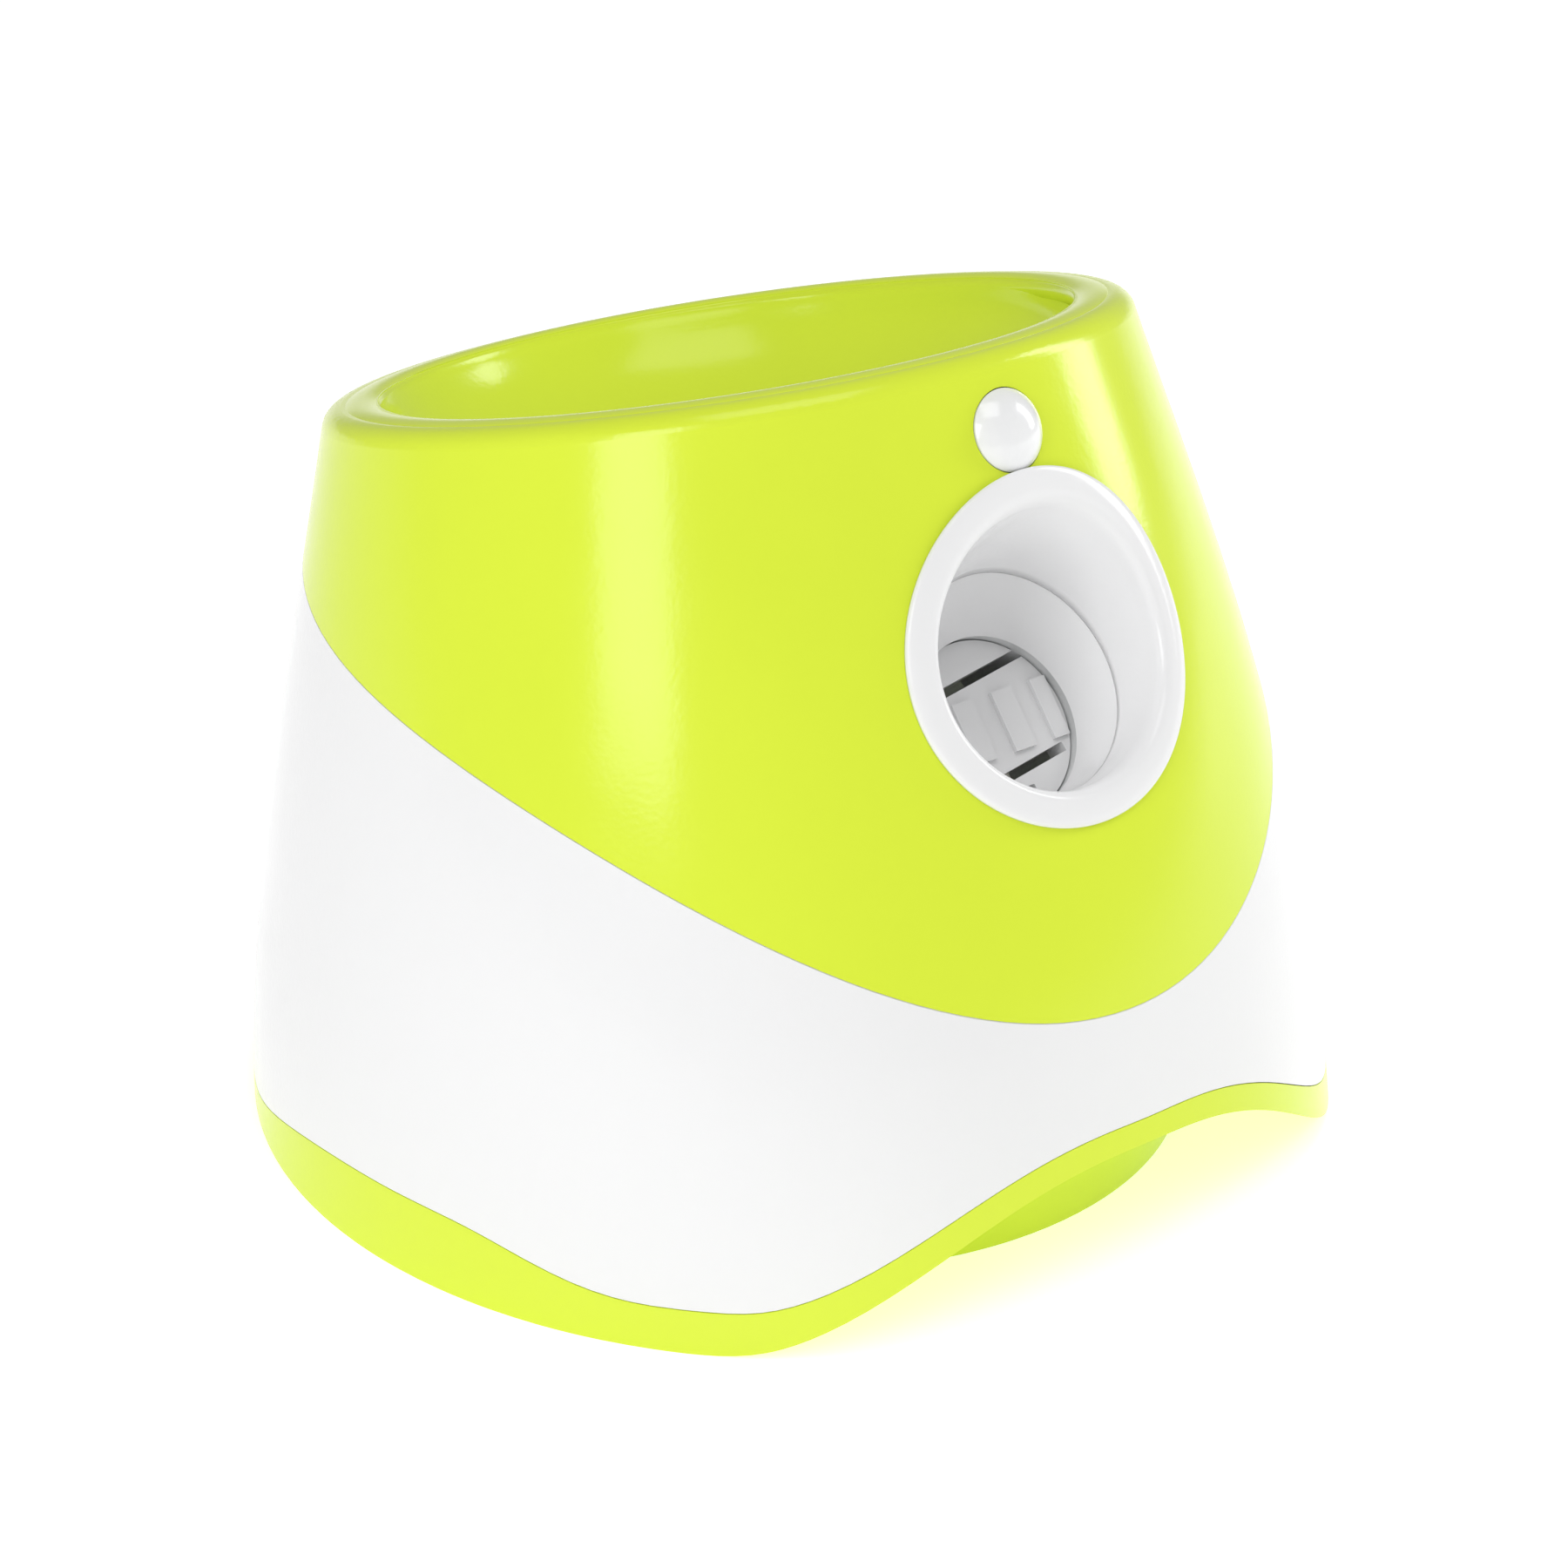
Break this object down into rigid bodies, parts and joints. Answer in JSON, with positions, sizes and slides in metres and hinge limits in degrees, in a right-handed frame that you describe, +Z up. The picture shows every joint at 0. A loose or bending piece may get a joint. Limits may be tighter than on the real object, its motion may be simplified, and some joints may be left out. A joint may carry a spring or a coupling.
{
  "type": "automatic ball launcher",
  "caption": "Rounded dog ball launcher with a tilted ball hopper on top, an angled launch port, a geared spring striker, a motion sensor, push buttons and a hinged battery door.",
  "frame": {"origin": "centre of the footprint at floor level", "axes": "+Z up, the launch port faces -Y, +X to the machine's left hand as seen from its back"},
  "size_m": [0.33, 0.3225, 0.253],
  "materials": {
    "lime": "glossy lime green",
    "white": "glossy white",
    "panel_grey": "satin light grey",
    "dark_plastic": "fine matte",
    "pale_plastic": "satin",
    "gear_plastic": "satin acetal",
    "steel": "zinc plated",
    "brass": "plain",
    "foot_rubber": "matte",
    "circuit": "solder mask",
    "cell_wrap": "printed sleeve without words",
    "lens": "milky white",
    "light": "clear green",
    "motor_can": "satin"
  },
  "bodies": {
    "housing": {"top_shell": "lime", "lower_shell": "white", "hopper": "lime", "launch_ring": "white", "muzzle_cone": "white", "base_tray": "lime", "shell_screws": "steel", "rubber_feet": "foot_rubber", "barrel": "pale_plastic", "ball_chute": "pale_plastic", "barrel_cap": "dark_plastic", "rod_bush": "brass", "launch_spring": "steel", "axle_bushes": "brass", "gear_pins": "steel", "inner_gear_plate": "dark_plastic", "outer_gear_plate": "dark_plastic", "gear_pillars": "dark_plastic", "gear_screws": "steel", "motor": "motor_can", "barrel_cradle": "pale_plastic", "battery_box": "pale_plastic", "battery_cells": "cell_wrap", "battery_contacts": "steel", "sensor_lens": "lens", "sensor_holder": "pale_plastic", "sensor_board": "circuit", "motion_sensor": "motor_can", "control_panel": "panel_grey", "button_switches": "dark_plastic", "control_board": "circuit", "speaker": "dark_plastic", "status_lights": "light", "power_inlet": "dark_plastic", "inlet_pin": "steel"},
    "drive_body": {"sector_gear": "gear_plastic", "drive_gear": "gear_plastic", "main_axle": "steel"},
    "second_body": {"second_gear": "gear_plastic"},
    "first_body": {"first_gear": "gear_plastic"},
    "motor_drive": {"motor_pinion": "brass", "motor_shaft": "steel"},
    "striker_body": {"striker_head": "white", "striker_rod": "steel", "striker_rack": "gear_plastic"},
    "power_key": {"power_button": "white"},
    "distance_key": {"distance_button": "white"},
    "door_body": {"battery_door": "lime"}
  },
  "joints": [
    {"name": "drive_spin", "type": "hinge", "parent": "housing", "child": "drive_body", "pos_m": [0, -0.04618, 0.06115], "axis": [-1, 0, 0], "range_deg": [0, 235.6]},
    {"name": "striker_slide", "type": "slide", "parent": "housing", "child": "striker_body", "axis": [0, 0.749, -0.6626], "range_m": [0, 0.074], "stiffness_N_per_m": 150, "springref_m": -0.01, "deforming": ["launch_spring"]},
    {"name": "second_spin", "type": "hinge", "parent": "housing", "child": "second_body", "pos_m": [0, -0.01963, 0.07003], "axis": [-1, 0, 0], "range_deg": [-870, 0]},
    {"name": "first_spin", "type": "hinge", "parent": "housing", "child": "first_body", "pos_m": [0, -0.01083, 0.09236], "axis": [-1, 0, 0], "range_deg": [0, 2600]},
    {"name": "motor_spin", "type": "hinge", "parent": "housing", "child": "motor_drive", "pos_m": [0, -0.01845, 0.11512], "axis": [-1, 0, 0], "range_deg": [-7800, 0]},
    {"name": "power_press", "type": "slide", "parent": "housing", "child": "power_key", "axis": [0, -1, 0], "range_m": [0, 0.0015], "stiffness_N_per_m": 400, "springref_m": -0.0005},
    {"name": "distance_press", "type": "slide", "parent": "housing", "child": "distance_key", "axis": [0, -1, 0], "range_m": [0, 0.0015], "stiffness_N_per_m": 400, "springref_m": -0.0005},
    {"name": "door_hinge", "type": "hinge", "parent": "housing", "child": "door_body", "pos_m": [0, 0.05172, 0.0042], "axis": [-1, 0, 0], "range_deg": [0, 95]}
  ],
  "couplings": [
    {"joint": "drive_spin", "follows": "striker_slide", "rad_per_m": 55.556},
    {"joint": "second_spin", "follows": "striker_slide", "rad_per_m": -203.7},
    {"joint": "first_spin", "follows": "striker_slide", "rad_per_m": 611.11},
    {"joint": "motor_spin", "follows": "striker_slide", "rad_per_m": -1833.3}
  ]
}
